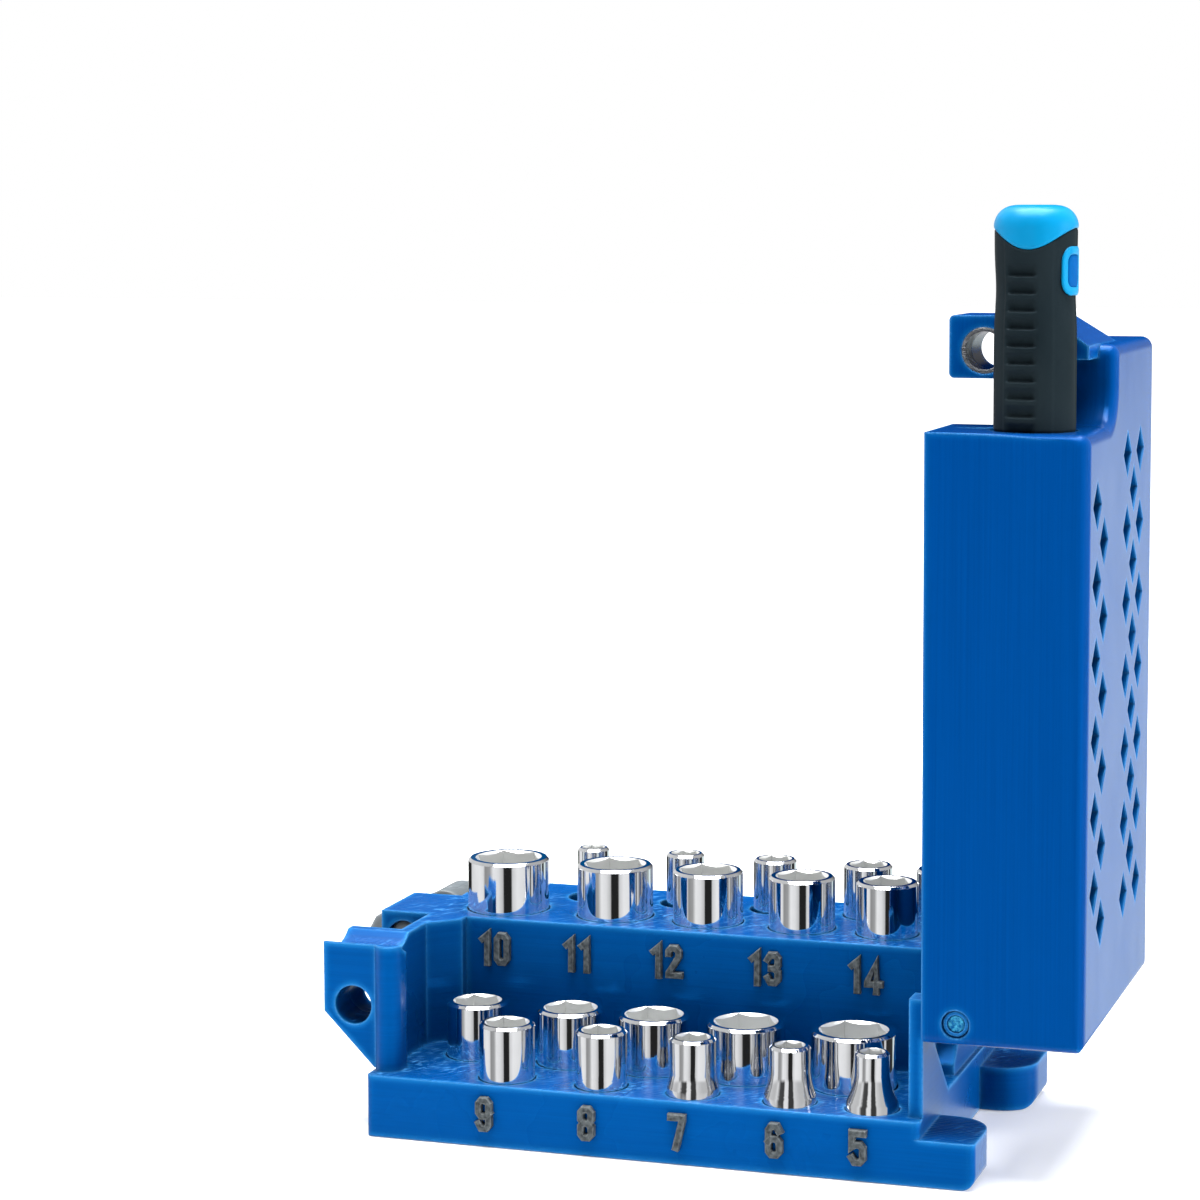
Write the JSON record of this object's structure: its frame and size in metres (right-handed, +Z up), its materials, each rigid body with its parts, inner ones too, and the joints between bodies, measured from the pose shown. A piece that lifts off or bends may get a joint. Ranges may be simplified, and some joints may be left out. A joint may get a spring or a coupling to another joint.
{
  "type": "hinged socket organizer",
  "caption": "Hinged organizer for small drive sockets: stepped tray with pockets, folding case with diamond holes, sliding latch, and a spinner handle standing in the case top.",
  "frame": {"origin": "centre of the base block's underside", "axes": "+X along the tray towards the hinge, +Y towards the raised tier, +Z up; the case stands open"},
  "size_m": [0.196, 0.084, 0.216],
  "materials": {
    "blue_plastic": "printed, satin",
    "grey_plastic": "printed, satin",
    "socket_chrome": "mirror",
    "screw_steel": "satin",
    "grip_rubber": "matt",
    "handle_plastic": "gloss"
  },
  "bodies": {
    "tray": {"tray": "blue_plastic", "hinge_pin_front": "blue_plastic", "hinge_pin_rear": "blue_plastic"},
    "case": {"case": "blue_plastic", "striker_bush": "screw_steel"},
    "latch": {"lock_bolt": "grey_plastic", "latch_lever": "grey_plastic", "latch_screw": "screw_steel"},
    "handle": {"handle_grip": "grip_rubber", "handle_core": "handle_plastic", "handle_shaft": "socket_chrome", "detent_ball": "socket_chrome"},
    "socket_5": {"socket_5": "socket_chrome"},
    "socket_6": {"socket_6": "socket_chrome"},
    "socket_7": {"socket_7": "socket_chrome"},
    "socket_8": {"socket_8": "socket_chrome"},
    "socket_9": {"socket_9": "socket_chrome"},
    "socket_10": {"socket_10": "socket_chrome"},
    "socket_11": {"socket_11": "socket_chrome"},
    "socket_12": {"socket_12": "socket_chrome"},
    "socket_13": {"socket_13": "socket_chrome"},
    "socket_14": {"socket_14": "socket_chrome"},
    "deep_socket_5": {"deep_socket_5": "socket_chrome"},
    "deep_socket_6": {"deep_socket_6": "socket_chrome"},
    "deep_socket_7": {"deep_socket_7": "socket_chrome"},
    "deep_socket_8": {"deep_socket_8": "socket_chrome"},
    "deep_socket_9": {"deep_socket_9": "socket_chrome"},
    "deep_socket_10": {"deep_socket_10": "socket_chrome"},
    "deep_socket_11": {"deep_socket_11": "socket_chrome"},
    "deep_socket_12": {"deep_socket_12": "socket_chrome"},
    "deep_socket_13": {"deep_socket_13": "socket_chrome"},
    "deep_socket_14": {"deep_socket_14": "socket_chrome"}
  },
  "joints": [
    {"name": "case_hinge", "type": "hinge", "parent": "tray", "child": "case", "pos_m": [0.074, 0, 0.037], "axis": [0, 1, 0], "range_deg": [-90, 0]},
    {"name": "latch_slide", "type": "slide", "parent": "tray", "child": "latch", "axis": [0, 1, 0], "range_m": [-0.0045, 0]},
    {"name": "handle_lift", "type": "slide", "parent": "case", "child": "handle", "axis": [0, 0, 1], "range_m": [0, 0.07]},
    {"name": "socket_5_lift", "type": "slide", "parent": "tray", "child": "socket_5", "axis": [0, 0, 1], "range_m": [0, 0.032]},
    {"name": "socket_6_lift", "type": "slide", "parent": "tray", "child": "socket_6", "axis": [0, 0, 1], "range_m": [0, 0.032]},
    {"name": "socket_7_lift", "type": "slide", "parent": "tray", "child": "socket_7", "axis": [0, 0, 1], "range_m": [0, 0.032]},
    {"name": "socket_8_lift", "type": "slide", "parent": "tray", "child": "socket_8", "axis": [0, 0, 1], "range_m": [0, 0.032]},
    {"name": "socket_9_lift", "type": "slide", "parent": "tray", "child": "socket_9", "axis": [0, 0, 1], "range_m": [0, 0.032]},
    {"name": "socket_10_lift", "type": "slide", "parent": "tray", "child": "socket_10", "axis": [0, 0, 1], "range_m": [0, 0.032]},
    {"name": "socket_11_lift", "type": "slide", "parent": "tray", "child": "socket_11", "axis": [0, 0, 1], "range_m": [0, 0.032]},
    {"name": "socket_12_lift", "type": "slide", "parent": "tray", "child": "socket_12", "axis": [0, 0, 1], "range_m": [0, 0.032]},
    {"name": "socket_13_lift", "type": "slide", "parent": "tray", "child": "socket_13", "axis": [0, 0, 1], "range_m": [0, 0.032]},
    {"name": "socket_14_lift", "type": "slide", "parent": "tray", "child": "socket_14", "axis": [0, 0, 1], "range_m": [0, 0.032]},
    {"name": "deep_socket_5_lift", "type": "slide", "parent": "tray", "child": "deep_socket_5", "axis": [0, 0, 1], "range_m": [0, 0.055]},
    {"name": "deep_socket_6_lift", "type": "slide", "parent": "tray", "child": "deep_socket_6", "axis": [0, 0, 1], "range_m": [0, 0.055]},
    {"name": "deep_socket_7_lift", "type": "slide", "parent": "tray", "child": "deep_socket_7", "axis": [0, 0, 1], "range_m": [0, 0.055]},
    {"name": "deep_socket_8_lift", "type": "slide", "parent": "tray", "child": "deep_socket_8", "axis": [0, 0, 1], "range_m": [0, 0.055]},
    {"name": "deep_socket_9_lift", "type": "slide", "parent": "tray", "child": "deep_socket_9", "axis": [0, 0, 1], "range_m": [0, 0.055]},
    {"name": "deep_socket_10_lift", "type": "slide", "parent": "tray", "child": "deep_socket_10", "axis": [0, 0, 1], "range_m": [0, 0.055]},
    {"name": "deep_socket_11_lift", "type": "slide", "parent": "tray", "child": "deep_socket_11", "axis": [0, 0, 1], "range_m": [0, 0.055]},
    {"name": "deep_socket_12_lift", "type": "slide", "parent": "tray", "child": "deep_socket_12", "axis": [0, 0, 1], "range_m": [0, 0.055]},
    {"name": "deep_socket_13_lift", "type": "slide", "parent": "tray", "child": "deep_socket_13", "axis": [0, 0, 1], "range_m": [0, 0.055]},
    {"name": "deep_socket_14_lift", "type": "slide", "parent": "tray", "child": "deep_socket_14", "axis": [0, 0, 1], "range_m": [0, 0.055]}
  ]
}
